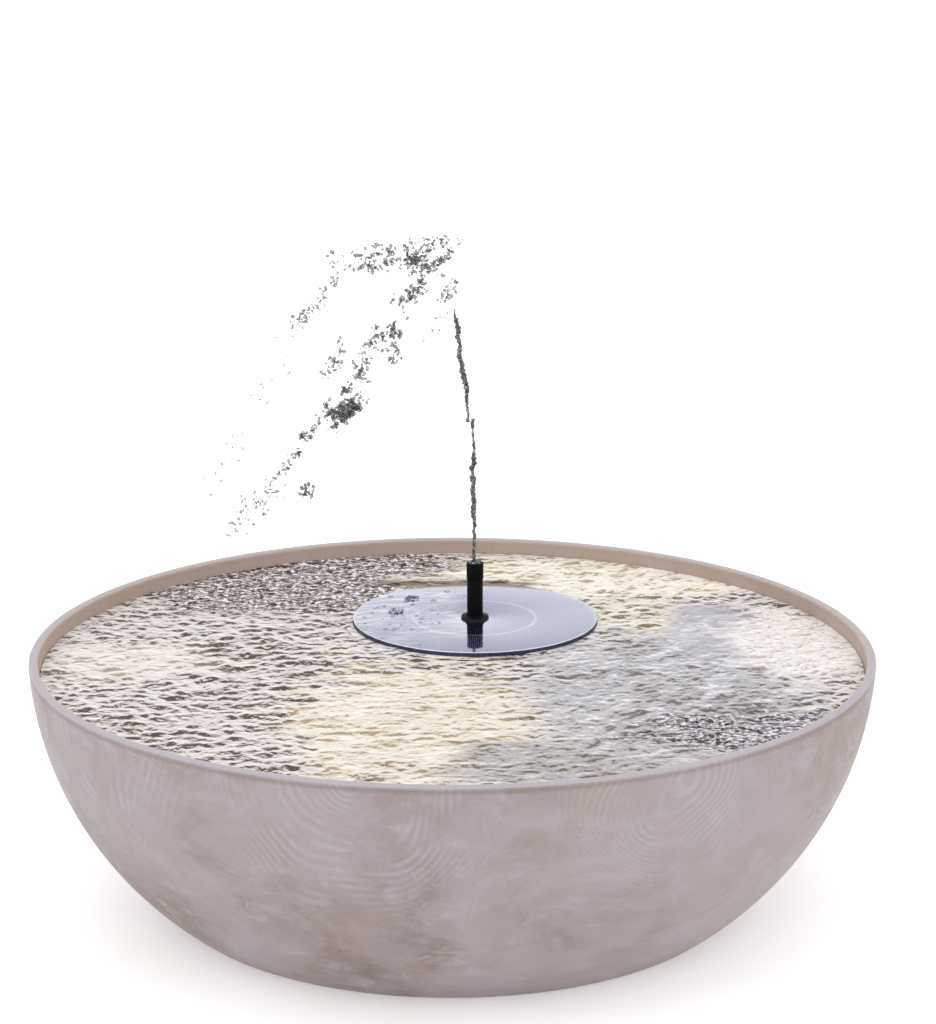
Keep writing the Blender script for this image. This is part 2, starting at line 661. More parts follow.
@dataclass(frozen=True)
class MouldedPlastic(Finish):
    """Moulded plastic or rubber with a mould's grain and a little lime from the water."""

    name: str
    base: Colour
    lime: Colour = tint(120, 120, 118)
    roughness: float = 0.38
    wear: float = 0.25
    gloss: float = 0.35

    def draw(self, graph: Graph, place: Socket) -> dict[str, object]:
        """Draws the finish and returns what each of its shader's sockets takes."""
        grain = graph.group(EFFECTS.grain, Vector=place, Scale=1100.0)
        worn = graph.group(EFFECTS.wear, Vector=place, Scale=70.0, Amount=self.wear)
        share = graph.times(worn.outputs["Mask"], 0.22)
        colour = graph.mix(graph.times(grain.outputs["Mottle"], 0.08), self.base, self.lime)
        return {
            "Base Color": graph.mix(share, colour, self.lime),
            "Roughness": graph.ramp(
                grain.outputs["Mottle"], 0.3, 0.7, self.roughness - 0.06, self.roughness + 0.1),
            "Normal": graph.bump(grain.outputs["Height"], 0.05 * MM, 0.4),
            "Specular IOR Level": self.gloss,
        }


@dataclass(frozen=True)
class BareMetal(Finish):
    """Turned, stamped or wound metal, with its tool lines and a light tarnish."""

    name: str
    base: Colour
    tarnish: Colour
    line_spacing: float = 0.4 * MM
    roughness: float = 0.3

    def draw(self, graph: Graph, place: Socket) -> dict[str, object]:
        """Draws the finish and returns what each of its shader's sockets takes."""
        height = graph.add("SeparateXYZ", Vector=place).outputs[2]
        lines = graph.math("SINE", graph.times(height, FULL_TURN / self.line_spacing))
        worn = graph.group(EFFECTS.wear, Vector=place, Scale=240.0, Amount=0.8)
        colour = graph.mix(graph.times(worn.outputs["Mask"], 0.6), self.base, self.tarnish)
        colour = graph.mix(graph.ramp(lines, 0.2, -0.9, 0.0, 0.45), colour, self.tarnish)
        return {
            "Base Color": colour,
            "Roughness": graph.ramp(worn.outputs["Mask"], 0.0, 1.0, self.roughness, self.roughness + 0.25),
            "Normal": graph.bump(lines, 0.04 * MM, 0.5),
            "Metallic": 1.0,
        }


@dataclass(frozen=True)
class CellFoam(Finish):
    """Open or closed foam, with round cells and darker pits."""

    name: str
    wall: Colour
    pit: Colour
    cells: float = 700.0

    def draw(self, graph: Graph, place: Socket) -> dict[str, object]:
        """Draws the finish and returns what each of its shader's sockets takes."""
        pits = graph.add("TexVoronoi", Vector=place, Scale=self.cells).outputs["Distance"]
        open_share = graph.ramp(pits, 0.5, 0.15)
        mottle = graph.noise(place, 90.0, 4.0)
        colour = graph.mix(graph.times(mottle, 0.3), self.wall, self.pit)
        return {
            "Base Color": graph.mix(open_share, colour, self.pit),
            "Normal": graph.bump(pits, 0.4 * MM, 0.8),
            "Roughness": 0.9,
        }


@dataclass(frozen=True)
class PrintedBoard(Finish):
    """A circuit or cell board: lacquer over copper tracks in small right-angled runs."""

    name: str
    lacquer: Colour
    track: Colour
    track_scale: float = 620.0

    def draw(self, graph: Graph, place: Socket) -> dict[str, object]:
        """Draws the finish and returns what each of its shader's sockets takes."""
        cells = graph.add("TexVoronoi", {"distance": "CHEBYCHEV", "feature": "F1"}, Vector=place,
                          Scale=self.track_scale)
        tracks = graph.ramp(cells.outputs["Distance"], 0.42, 0.5)
        cloud = graph.noise(place, 160.0, 3.0)
        colour = graph.mix(graph.times(cloud, 0.2), self.lacquer, self.track)
        return {
            "Base Color": graph.mix(graph.times(tracks, 0.5), colour, self.track),
            "Normal": graph.bump(tracks, 0.05 * MM, 0.5),
            "Roughness": 0.35,
        }


@dataclass(frozen=True)
class StudioFloor(Finish):
    """A plain pale floor with a hardly visible mottle, which glows a little so that its shade stays pale."""

    name = "studio_floor"
    pale: Colour = tint(253, 253, 253)
    shade: Colour = tint(250, 250, 251)
    glow: float = 0.28

    def draw(self, graph: Graph, place: Socket) -> dict[str, object]:
        """Draws the finish and returns what each of its shader's sockets takes."""
        cloud = graph.noise(place, 3.0, 3.0)
        return {
            "Base Color": graph.mix(cloud, self.pale, self.shade),
            "Roughness": 0.9,
            "Specular IOR Level": 0.1,
            "Emission Color": (1, 1, 1, 1),
            "Emission Strength": self.glow,
        }


# ---------------------------------------------------------------- mesh tools


def finish_mesh(name: str, bm: BMesh, material: Material, sharp: float = 35.0) -> Piece:
    """Turns a bmesh into a shown piece with smooth faces.

    Args:
        name: The piece's name.
        bm: The shape, which is freed.
        material: Its finish.
        sharp: Edges that turn by more than this many degrees stay sharp.

    Returns:
        The piece, linked to the scene.
    """
    mesh = bpy.data.meshes.new(name)
    bm.to_mesh(mesh)
    bm.free()
    mesh.shade_smooth()
    mesh.set_sharp_from_angle(angle=math.radians(sharp))
    mesh.materials.append(material)
    piece = bpy.data.objects.new(name, mesh)
    bpy.context.scene.collection.objects.link(piece)
    return piece


def publish(piece: Piece, body: Body, slot: Slot | None, *nodes: str) -> Piece:
    """Says what a piece rides on, where its finish is recorded and which CAD nodes it stands for."""
    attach(piece, body.value)
    if nodes:
        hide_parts(*nodes)
    LOG.info("%s: %d faces, rides on %s", piece.name, len(piece.data.polygons), body.value)
    return piece


def round_box(node: str) -> tuple[Vector, Vector, Vector, float]:
    """Returns a round CAD node's lowest and highest corner, its middle and its radius."""
    low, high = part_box(node)
    return low, high, (low + high) / 2, (high.x - low.x) / 2


def start_at(bm: BMesh, r: float, z: float) -> BMVert:
    """Starts an outline in the XZ plane at radius r and height z."""
    return bmesh.ops.create_vert(bm, co=(r, 0, z))["vert"][0]


def line_to(bm: BMesh, start: BMVert, r: float, z: float) -> BMVert:
    """Draws a straight edge in the XZ plane from start to radius r and height z, and returns its far end."""
    grown = bmesh.ops.extrude_vert_indiv(bm, verts=[start])
    end = grown["verts"][0]
    end.co = (r, 0, z)
    return end


def arc_about(bm: BMesh, start: BMVert, centre: tuple[float, float], turn: float,
              steps: int) -> BMVert:
    """Draws an arc in the XZ plane from start, turn radians from +X to +Z, and returns its far end."""
    swept = bmesh.ops.spin(bm, geom=[start], cent=(centre[0], 0, centre[1]), axis=(0, 1, 0), angle=-turn,
                           steps=steps)
    return next(item for item in swept["geom_last"] if isinstance(item, BMVert))


def lathe(bm: BMesh, steps: int) -> None:
    """Turns the outline in the XZ plane round the Z axis into a closed skin that faces outwards."""
    outline = bm.verts[:] + bm.edges[:]
    bmesh.ops.spin(bm, geom=outline, cent=(0, 0, 0), axis=(0, 0, 1), angle=FULL_TURN, steps=steps,
                   use_merge=True)
    bmesh.ops.remove_doubles(bm, verts=bm.verts, dist=1e-6)
    bmesh.ops.recalc_face_normals(bm, faces=bm.faces)


def turn_outline(bm: BMesh, outline: Sequence[tuple[float, float]], steps: int) -> None:
    """Draws a closed outline from its corners' radii and heights, and turns it round the Z axis."""
    first = last = start_at(bm, *outline[0])
    for r, z in outline[1:]:
        last = line_to(bm, last, r, z)
    bmesh.ops.contextual_create(bm, geom=[last, first])
    lathe(bm, steps)


def soften(bm: BMesh, radius: float, segments: int, above: float = 40.0,
           wanted: Callable[[BMEdge], bool] = lambda edge: True) -> None:
    """Rounds the edges that turn by more than above degrees and that are wanted."""
    edges = [edge for edge in bm.edges if len(edge.link_faces) == 2
             and edge.calc_face_angle(0.0) > math.radians(above) and wanted(edge)]
    bmesh.ops.bevel(bm, geom=edges, offset=radius, offset_type="OFFSET", segments=segments, profile=0.5,
                    affect="EDGES", material=-1, clamp_overlap=True)


def turned(name: str, outline: Sequence[tuple[float, float]], centre: Vector, material: Material,
           rounding: float, steps: int = 64) -> Piece:
    """Makes a turned part from a closed outline.

    Args:
        name: The piece's name.
        outline: Its corners as radius and height, in order.
        centre: Where its axis stands.
        material: Its finish.
        rounding: The radius of its softened edges.
        steps: Sides round the axis.

    Returns:
        The piece.
    """
    bm = bmesh.new()
    turn_outline(bm, outline, steps)
    soften(bm, rounding, 3)
    bmesh.ops.translate(bm, verts=bm.verts, vec=(centre.x, centre.y, 0))
    return finish_mesh(name, bm, material)


# ---------------------------------------------------------------- the bowl


@dataclass
class MarbledBowl:
    """The bowl, whose side is one arc from the foot to a nearly upright rim."""

    foot_r: float = 178 * MM
    rim_lean: float = math.radians(2.6)
    wall: float = 6 * MM
    floor_t: float = 8 * MM
    rim_rounding: float = 2 * MM
    foot_rounding: float = 1.5 * MM
    steps: int = 216
    rim_r: float = field(init=False)
    height: float = field(init=False)
    arc_r: float = field(init=False)
    arc_x: float = field(init=False)
    arc_z: float = field(init=False)

    def __post_init__(self) -> None:
        """Takes the bowl's size from the CAD, and works out its arc."""
        _, high, _, self.rim_r = round_box("bowl")
        self.height = high.z
        run = self.rim_r - self.foot_r
        lean = self.rim_lean
        self.arc_r = (run**2 + self.height**2) / (2 * (run * math.cos(lean) - self.height * math.sin(lean)))
        self.arc_x = self.rim_r - self.arc_r * math.cos(lean)
        self.arc_z = self.height + self.arc_r * math.sin(lean)

    def radius_at(self, z: float, inset: float) -> float:
        """Returns the side's radius at height z, drawn in by inset."""
        return self.arc_x + math.sqrt((self.arc_r - inset) ** 2 - (self.arc_z - z) ** 2)

    def bearing(self, z: float, inset: float) -> float:
        """Returns the angle at which the arc's centre sees the side at height z."""
        return math.atan2(z - self.arc_z, self.radius_at(z, inset) - self.arc_x)

    def build(self) -> Piece:
        """Turns the bowl's outline and rounds its rim and foot."""
        bm = bmesh.new()
        centre = (self.arc_x, self.arc_z)
        point = start_at(bm, 0, 0)
        point = line_to(bm, point, self.foot_r, 0)
        point = arc_about(bm, point, centre, self.bearing(self.height, 0) - self.bearing(0, 0), 40)
        point = line_to(bm, point, self.radius_at(self.height, self.wall), self.height)
        down = self.bearing(self.floor_t, self.wall) - self.bearing(self.height, self.wall)
        point = arc_about(bm, point, centre, down, 36)
        line_to(bm, point, 0, self.floor_t)
        lathe(bm, self.steps)
        soften(bm, self.rim_rounding, 5, wanted=lambda edge: edge.verts[0].co.z > self.height - MM)
        soften(bm, self.foot_rounding, 3, above=30,
               wanted=lambda edge: edge.verts[0].co.z < MM and edge.verts[1].co.z < MM)
        piece = finish_mesh("marbled_bowl", bm, MarbledStone(self.height, rim_r=self.rim_r).build())
        return publish(piece, Body.BOWL, Slot.STONE, "bowl")


# ---------------------------------------------------------------- the water


@dataclass(frozen=True)
class WaveBand:
    """Many small waves of nearly one length, running every way."""

    shortest: float
    longest: float
    steepness: float
    count: int


@dataclass
class PoolOfWater:
    """The water in the bowl, whose top is one rippled surface."""

    bowl: MarbledBowl
    cells: int = 288
    side_gap: float = 0.4 * MM
    side_rings: int = 6
    bands: tuple[WaveBand, ...] = (
        WaveBand(8 * MM, 13 * MM, 0.1, 80),
        WaveBand(17 * MM, 30 * MM, 0.05, 26),
        WaveBand(60 * MM, 120 * MM, 0.02, 8),
    )
    still_edge: float = 4 * MM

    def waves(self, xy: np.ndarray) -> tuple[np.ndarray, np.ndarray]:
        """Works out the water's height and its lean towards the front.

        Args:
            xy: The places, one a row.

        Returns:
            The height at each place and the slope along Y there.
        """
        random_state = np.random.default_rng(SEED)
        height, lean = np.zeros(len(xy)), np.zeros(len(xy))
        for band in self.bands:
            for _ in range(band.count):
                length = random_state.uniform(band.shortest, band.longest)
                way = random_state.normal(math.pi / 2, 0.75)
                number = FULL_TURN / length
                heading = number * np.array([math.cos(way), math.sin(way)])
                phase = xy @ heading + random_state.uniform(0, FULL_TURN)
                size = band.steepness / number / math.sqrt(band.count / 2) * 1.4
                height += size * np.sin(phase)
                lean += size * number * math.sin(way) * np.cos(phase)
        return height, lean

    def build(self) -> Piece:
        """Shapes the rippled top, and closes it with a body that follows the bowl."""
        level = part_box("water")[1].z
        bottom = self.bowl.floor_t + self.side_gap
        rim = self.bowl.radius_at(level, self.bowl.wall + self.side_gap)
        bm = bmesh.new()
        bmesh.ops.create_grid(bm, x_segments=self.cells, y_segments=self.cells, size=1.0)
        for vert in bm.verts:
            u, v = vert.co.x, vert.co.y
            vert.co = (rim * u * math.sqrt(1 - v * v / 2), rim * v * math.sqrt(1 - u * u / 2), level)
        edge = [e for e in bm.edges if e.is_boundary]
        for ring in range(1, self.side_rings + 1):
            z = level + (bottom - level) * ring / self.side_rings
            grown = bmesh.ops.extrude_edge_only(bm, edges=edge)["geom"]
            edge = [item for item in grown if isinstance(item, BMEdge)]
            radius = self.bowl.radius_at(z, self.bowl.wall + self.side_gap)
            for vert in (item for item in grown if isinstance(item, BMVert)):
                flat = Vector((vert.co.x, vert.co.y)).normalized() * radius
                vert.co = (flat.x, flat.y, z)
        bmesh.ops.contextual_create(bm, geom=edge)
        bmesh.ops.recalc_face_normals(bm, faces=bm.faces)
        piece = finish_mesh("pool_of_water", bm, RipplingWater().build(), 60.0)
        places, height = self.mark_lean(piece.data)
        self._ripple(piece.data, places, height, level, rim)
        return publish(piece, Body.WATER, Slot.WATER, "water")

    def mark_lean(self, mesh: bpy.types.Mesh) -> tuple[np.ndarray, np.ndarray]:
        """Keeps each point's rank in lean towards the front as an attribute, from 0 to 1.

        Args:
            mesh: A mesh that lies on the water.

        Returns:
            The places of its points, and the height of the waves at each.
        """
        places = np.empty(len(mesh.vertices) * 3, np.float32)
        mesh.vertices.foreach_get("co", places)
        places = places.reshape(-1, 3)
        height, lean = self.waves(places[:, :2].astype(float))
        rank = np.empty(len(lean), np.float32)
        rank[np.argsort(lean)] = np.linspace(0, 1, len(lean))
        mesh.attributes.new("lean", "FLOAT", "POINT").data.foreach_set("value", rank)
        return places, height

    def _ripple(self, mesh: bpy.types.Mesh, places: np.ndarray, height: np.ndarray, level: float,
                rim: float) -> None:
        """Raises the top of the water into waves that die away at the rim."""
        away = np.hypot(places[:, 0], places[:, 1])
        top = places[:, 2] > level - 0.1 * MM
        calm = np.clip((rim - away) / self.still_edge, 0, 1) * top
        places[:, 2] += height * calm
        mesh.vertices.foreach_set("co", places.ravel())
        mesh.update()


@dataclass
class WaterEdge:
    """The low raised ring where the water clings to the float."""

    share_up: float = 0.35
    width: float = 5 * MM
    dip: float = 0.3 * MM
    rounding: float = 0.05 * MM
    curve_steps: int = 8

    def build(self, pool: PoolOfWater, water: Material) -> Piece:
        """Turns a ring whose top falls away from the float in a hollow curve."""
        low, high, centre, outer = round_box("meniscus")
        inner = outer - self.width
        steps = self.curve_steps
        foot = low.z - self.dip
        rise = self.share_up * (high.z - low.z)
        slope = [(inner + (outer - inner) * share, low.z + rise * (1 - share) ** 2.4)
                 for share in (step / steps for step in range(steps + 1))]
        outline = [(inner, foot), *slope, (outer, foot)]
        piece = turned("water_edge", outline, centre, water, self.rounding, 216)
        pool.mark_lean(piece.data)
        return publish(piece, Body.WATERLINE, Slot.WATER, "meniscus")


# ---------------------------------------------------------------- the solar fountain


@dataclass
class SolarDisc:
    """The panel's film, with the water that lies on it, over the CAD's cells and board."""

    hole_r: float = 6.5 * MM
    rounding: float = 0.35 * MM
    crown_r: float = 4.4 * MM
    crown_height: float = 1.5 * MM
    bead_count: int = 46
    bead_r: tuple[float, float] = (0.5 * MM, 1.5 * MM)
    crown_places: tuple[tuple[float, float], ...] = ((-42 * MM, 42 * MM), (-52 * MM, 12 * MM))

    def build(self) -> None:
        """Makes the film, the splash crowns and the beads."""
        low, high, centre, outer = round_box("panel_film")
        outline = [(self.hole_r, low.z), (outer, low.z), (outer, high.z), (self.hole_r, high.z)]
        gloss = GlossyFilm(centre, reach=outer).build()
        film = turned("panel_film_bevelled", outline, centre, gloss, self.rounding, 160)
        publish(film, Body.FLOAT, Slot.FILM, "panel_film")
        self._beads(centre, outer, high.z)
        water = WaterBead("splash_water", tint(84, 92, 120), tint(236, 238, 246), 0.6).build()
        for number, (x, y) in enumerate(self.crown_places):
            crown = splash_crown(f"splash_crown_{number + 1}", Vector((centre.x + x, centre.y + y, high.z)),
                                 self.crown_r, self.crown_height, water, SEED + number)
            publish(crown, Body.FLOAT, Slot.WATER)

    def _beads(self, centre: Vector, outer: float, top: float) -> None:
        """Scatters flat beads of water over the side of the film where the jet falls."""
        choose = random.Random(SEED)
        bm = bmesh.new()
        bead = ragged_drop(SEED, 0.08)
        for _ in range(self.bead_count):
            away = outer * 0.93 * math.sqrt(choose.uniform(0.1, 1))
            way = choose.gauss(math.pi, 0.75)
            size = choose.uniform(*self.bead_r)
            x, y = centre.x + away * math.cos(way), centre.y + away * math.sin(way)
            place = Matrix.Translation((x, y, top))
            shape = Matrix.Diagonal((size * choose.uniform(0.8, 1.6), size, size * 0.45, 1))
            add_copy(bm, bead, place @ shape)
        bead.free()
        beads = WaterBead("standing_water", tint(120, 126, 150), tint(222, 224, 236), 0.12, 0.8)
        piece = finish_mesh("panel_beads", bm, beads.build())
        publish(piece, Body.FLOAT, Slot.WATER)


def ragged_drop(seed: int, raggedness: float) -> BMesh:
    """Makes a drop of about radius 1 at the origin, to be copied.

    Args:
        seed: What its raggedness is drawn from.
        raggedness: The share by which its skin moves in or out.

    Returns:
        The shape, to be freed by the caller.
    """
    choose = random.Random(seed)
    bm = bmesh.new()
    bmesh.ops.create_uvsphere(bm, u_segments=8, v_segments=6, radius=1.0)
    for vert in bm.verts:
        vert.co *= 1 + choose.uniform(-raggedness, raggedness)
    return bm


def add_copy(bm: BMesh, shape: BMesh, matrix: Matrix) -> None:
    """Adds a copy of shape, moved by matrix."""
    copy = shape.copy()
    bmesh.ops.transform(copy, matrix=matrix, verts=copy.verts)
    scratch = bpy.data.meshes.new("scratch")
    copy.to_mesh(scratch)
    copy.free()
    bm.from_mesh(scratch)
    bpy.data.meshes.remove(scratch)


def splash_crown(name: str, foot: Vector, radius: float, height: float, water: Material,
                 seed: int) -> Piece:
    """Makes the small crown of water that a falling drop throws up.

    Args:
        name: The piece's name.
        foot: The middle of its foot.
        radius: The radius of its rim.
        height: How far its highest point stands up.
        water: Its finish.
        seed: What its raggedness is drawn from.

    Returns:
        The piece.
    """
    choose = random.Random(seed)
    steps = 28
    bm = bmesh.new()
    thick = 0.4 * MM
    shoulder = height * 0.8
    turn_outline(bm, ((radius * 0.8, 0), (radius - thick, shoulder), (radius + thick, shoulder),
                      (radius + 2 * thick, 0)), steps)
    ragged = [choose.uniform(0.35, 1.25) for _ in range(steps)]
    for vert in bm.verts:
        step = round(math.atan2(vert.co.y, vert.co.x) / FULL_TURN * steps) % steps
        vert.co.z *= ragged[step]
        vert.co.x *= 1 + 0.1 * (ragged[step] - 0.8)
    bmesh.ops.translate(bm, verts=bm.verts, vec=foot)
    return finish_mesh(name, bm, water, 60.0)


@dataclass
class NozzleStack:
    """The collar, the riser tube and the nozzle head, with the water that stands on top."""

    bore: float = 2.5 * MM
    jet_hole: float = 1 * MM
    plug_r: float = 3.95 * MM
    collar_neck_r: float = 6.3 * MM
    collar_bore: float = 4.2 * MM
    collar_shoulder_r: float = 5.9 * MM
    socket_r: float = 4.05 * MM
    roof: float = 5.2 * MM
    dish_depth: float = 1.2 * MM
    rounding: float = 0.45 * MM

    def build(self) -> None:
        """Makes the three plastic parts and the cap of water."""
        lime = tint(56, 56, 58)
        black = MouldedPlastic("satin_black_plastic", tint(9, 9, 11), lime, 0.42, 0.1, 0.06).build()
        for node, name, body in (("outlet_collar", "outlet_collar_turned", Body.FLOAT),
                                 ("riser_tube", "riser_tube_turned", Body.RISER)):
            low, high, centre, outer = round_box(node)
            outline = self._stepped(node, low, high, outer)
            piece = turned(name, outline, centre, black, self.rounding)
            publish(piece, body, Slot.PLASTIC, node)
        self._head(black)

    def _stepped(self, node: str, low: Vector, high: Vector, outer: float) -> list[tuple[float, float]]:
        """Returns a plain part's outline, from its lowest to its highest point, with its narrow plug ends."""
        if node == "riser_tube":
            plug, bottom = self.plug_r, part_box("outlet_collar")[1].z
            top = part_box("nozzle_head")[0].z
            return [(self.bore, low.z), (plug, low.z), (plug, bottom), (outer, bottom), (outer, top),
                    (plug, top), (plug, high.z), (self.bore, high.z)]
        neck, bottom = self.collar_neck_r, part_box("collar_washer")[1].z
        bore, shoulder = self.collar_bore, self.collar_shoulder_r
        return [(bore, low.z), (neck, low.z), (neck, bottom), (outer, bottom), (outer, bottom + 0.3 * MM),
                (shoulder, bottom + 0.8 * MM), (shoulder, high.z), (bore, high.z)]

    def _head(self, black: Material) -> None:
        """Makes the nozzle head, dished round the jet hole, and the water that wells up there."""
        low, high, centre, outer = round_box("nozzle_head")
        socket, roof = self.socket_r, low.z + self.roof
        dish, dish_floor = outer - 1.3 * MM, high.z - self.dish_depth
        outline = [(socket, low.z), (outer, low.z), (outer, high.z), (dish, high.z),
                   (dish - 0.6 * MM, dish_floor), (self.jet_hole, dish_floor), (self.jet_hole, roof),
                   (socket, roof)]
        piece = turned("nozzle_head_turned", outline, centre, black, 0.35 * MM)
        publish(piece, Body.NOZZLE, Slot.PLASTIC, "nozzle_head")
        water = WaterBead("welling_water", pale=tint(240, 242, 246)).build()
        foot = Vector((centre.x, centre.y, high.z - 1 * MM))
        cap = splash_crown("nozzle_water_cap", foot, 3.4 * MM, 2.6 * MM, water, SEED + 7)
        publish(cap, Body.NOZZLE, Slot.WATER)


@dataclass(frozen=True)
class SprayPath:
    """A path that clusters of drops fall along.

    Its ends are distances to the left of the nozzle and below the top of the spray. With a bend below 1 it
    falls most steeply at its start.
    """

    start: tuple[float, float]
    end: tuple[float, float]
    clusters: int
    spread: float = 5 * MM
    bend: float = 1.0
    largest: float = 1.1 * MM


@dataclass
class JetAndSpray:
    """The thin broken jet and the drops that fall from it to the left."""

    jet_r: float = 1.25 * MM
    headroom: float = 1.5 * MM
    leftmost: float = 176 * MM
    rings: int = 90
    sides: int = 10
    paths: tuple[SprayPath, ...] = (
        SprayPath((0.03, 0.026), (0.05, 0.044), 26, 4 * MM, 1.0, 1.5 * MM),
        SprayPath((0.05, 0.044), (0.054, 0.08), 24, 3 * MM, 1.0, 1.3 * MM),
        SprayPath((0.058, 0.062), (0.08, 0.096), 34, 4.5 * MM, 1.0, 1.3 * MM),
        SprayPath((0.084, 0.073), (0.098, 0.095), 16, 1.8 * MM),
        SprayPath((0.074, 0.098), (0.098, 0.124), 44, 5 * MM, 1.0, 1.5 * MM),
        SprayPath((0.08, 0.11), (0.086, 0.118), 20, 2.4 * MM, 1.0, 1.9 * MM),
        SprayPath((0.102, 0.122), (0.13, 0.163), 26, 1.8 * MM),
        SprayPath((0.108, 0.164), (0.112, 0.171), 9, 2 * MM, 1.0, 1.4 * MM),
        SprayPath((0.13, 0.16), (0.16, 0.198), 34, 6 * MM, 1.0, 0.9 * MM),
        SprayPath((0.014, 0.004), (0.042, 0.002), 26, 3.5 * MM, 1.0, 0.9 * MM),
        SprayPath((0.018, 0.012), (0.085, 0.016), 80, 6 * MM, 1.0, 1.25 * MM),
        SprayPath((0.02, 0.022), (0.044, 0.014), 24, 3.5 * MM, 1.0, 1.4 * MM),
        SprayPath((0.013, 0.028), (0.02, 0.042), 12, 2.5 * MM),
        SprayPath((0.085, 0.022), (0.116, 0.058), 24, 3 * MM, 0.9),
        SprayPath((0.1, 0.04), (0.174, 0.167), 34, 6 * MM, 1.0, 0.65 * MM),
        SprayPath((0.018, 0.05), (0.036, 0.066), 9, 4 * MM, 1.0, 0.6 * MM),
    )
    axis: Vector = field(init=False)
    foot_z: float = field(init=False)
    top_z: float = field(init=False)

    def __post_init__(self) -> None:
        """Takes the nozzle's place and the spray's top from the CAD."""
        _, high, self.axis, _ = round_box("nozzle_head")
        self.foot_z = high.z
        self.top_z = CAD_BOX[1].z

    def build(self) -> None:
        """Makes the jet and the drops."""
        water = WaterBead("flying_water", core=0.75).build()
        bm = bmesh.new()
        choose = random.Random(SEED + 3)
        foot = Vector((self.axis.x - 0.8 * MM, self.axis.y, self.foot_z - 2 * MM))
        self._strand(bm, choose, foot, Vector((-0.8 * MM, 0, 98 * MM)), 1.0)
        upper = foot + Vector((-3.8 * MM, 0, 96 * MM))
        self._strand(bm, choose, upper, Vector((-8.6 * MM, 0, 74 * MM)), 1.2)
        bmesh.ops.recalc_face_normals(bm, faces=bm.faces)
        publish(finish_mesh("water_jet_stream", bm, water, 80.0), Body.NOZZLE, Slot.WATER, "water_jet")
        self._drops(WaterBead("falling_water").build())

    def _strand(self, bm: BMesh, choose: random.Random, foot: Vector, rise: Vector, bend: float) -> None:
        """Draws one strand of the jet as a wavering tube that swells and thins.

        Args:
            bm: The shape it is added to.
            choose: What its raggedness is drawn from.
            foot: The middle of its lower end.
            rise: The way from its lower to its upper end.
            bend: 1 for a straight strand; more leaves its lean for its upper end.
        """
        ring = bmesh.ops.create_circle(bm, cap_ends=True, segments=self.sides, radius=self.jet_r)["verts"]
        bmesh.ops.translate(bm, verts=ring, vec=foot)
        face = ring[0].link_faces[0]
        at, radius, waver, fullness = foot.copy(), self.jet_r, 0.0, 1.0
        for step in range(1, self.rings + 1):
            share = step / self.rings
            waver = 0.8 * waver + choose.gauss(0, 0.28 * MM)
            fullness = min(max(fullness + choose.gauss(0, 0.16), 0.5), 1.5)
            target = foot + Vector((rise.x * share**bend + waver, 0.5 * waver, rise.z * share))
            swell = self.jet_r * fullness * choose.uniform(0.7, 1.25)
            face = self._grow(bm, face)
            verts = face.verts[:]
            bmesh.ops.translate(bm, verts=verts, vec=target - at)
            wider = (swell / radius, swell / radius, 1)
            bmesh.ops.scale(bm, verts=verts, vec=wider, space=Matrix.Translation(-target))
            at, radius = target, swell

    @staticmethod
    def _grow(bm: BMesh, face: BMFace) -> BMFace:
        """Extrudes the end face once and returns the new end."""
        grown = bmesh.ops.extrude_face_region(bm, geom=[face])["geom"]
        return next(item for item in grown if isinstance(item, BMFace))

    def _drops(self, water: Material) -> None:
        """Scatters clusters of drops along every path."""
        choose = random.Random(SEED + 5)
        shapes = [ragged_drop(SEED + number, 0.28) for number in range(5)]
        bm = bmesh.new()
        for path in self.paths:
            for _ in range(path.clusters):
                share = choose.random()
                left = path.start[0] + (path.end[0] - path.start[0]) * share
                left += choose.gauss(0, path.spread * 0.7)
                fall = path.start[1] + (path.end[1] - path.start[1]) * share**path.bend
                fall += choose.gauss(0, path.spread * 0.7)
                self._cluster(bm, choose, shapes, left, fall, path.largest)
        for shape in shapes:
            shape.free()
        publish(finish_mesh("falling_drops", bm, water, 80.0), Body.NOZZLE, Slot.WATER, "spray_drops")

    def _cluster(self, bm: BMesh, choose: random.Random, shapes: list[BMesh], left: float,
                 fall: float, largest: float) -> None:
        """Adds a few drops that hang together.

        Args:
            bm: The shape they are added to.
            choose: What they are drawn from.
            shapes: The drops to copy.
            left: The cluster's distance to the left of the nozzle.
            fall: Its distance below the top of the spray.
            largest: The radius of its largest drop.
        """
        depth = choose.gauss(0, 6 * MM)
        for _ in range(choose.choice((2, 3, 3, 5))):
            size = largest * choose.uniform(0.3, 1.0)
            x = self.axis.x - left + choose.gauss(0, 1.6 * MM)
            z = self.top_z - fall + choose.gauss(0, 1.6 * MM)
            x = max(x, self.axis.x - self.leftmost)
            z = self.top_z - self.headroom - abs(self.top_z - self.headroom - z)
            place = Matrix.Translation((x, self.axis.y + depth + choose.gauss(0, 1 * MM), z))
            turn = Matrix.Rotation(choose.uniform(0, math.pi), 4, "Y")
            wide, tall = choose.uniform(0.7, 1.7), choose.uniform(0.5, 1.0)
            shape = Matrix.Diagonal((size * wide, size, size * tall, 1))
            add_copy(bm, choose.choice(shapes), place @ turn @ shape)


# ---------------------------------------------------------------- the works under the water


